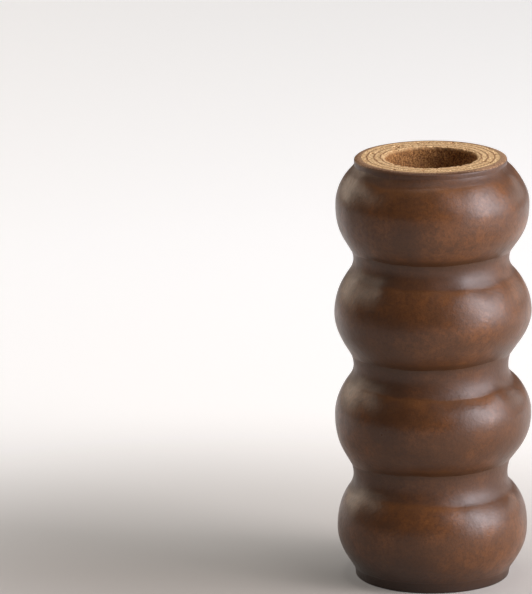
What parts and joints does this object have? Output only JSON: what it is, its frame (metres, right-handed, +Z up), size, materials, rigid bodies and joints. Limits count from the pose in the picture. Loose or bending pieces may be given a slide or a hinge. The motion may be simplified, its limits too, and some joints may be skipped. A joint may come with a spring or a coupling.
{
  "type": "chocolate-coated baumkuchen",
  "caption": "Tall ring cake of baked batter layers round a straight bore, its outside waved into soft bulges and thin collars, under a milk chocolate coat.",
  "frame": {"origin": "centre of the flat cut face that the cake stands on", "axes": "+Z up along the bore's axis; -Y is the side that faces the camera in the picture"},
  "size_m": [0.0598, 0.0599, 0.13],
  "materials": {
    "sponge": "matte, open crumb",
    "chocolate": "satin"
  },
  "bodies": {
    "root": {"baked_layer_1": "sponge", "baked_layer_2": "sponge", "baked_layer_3": "sponge", "baked_layer_4": "sponge", "chocolate_coat": "chocolate"}
  },
  "joints": []
}
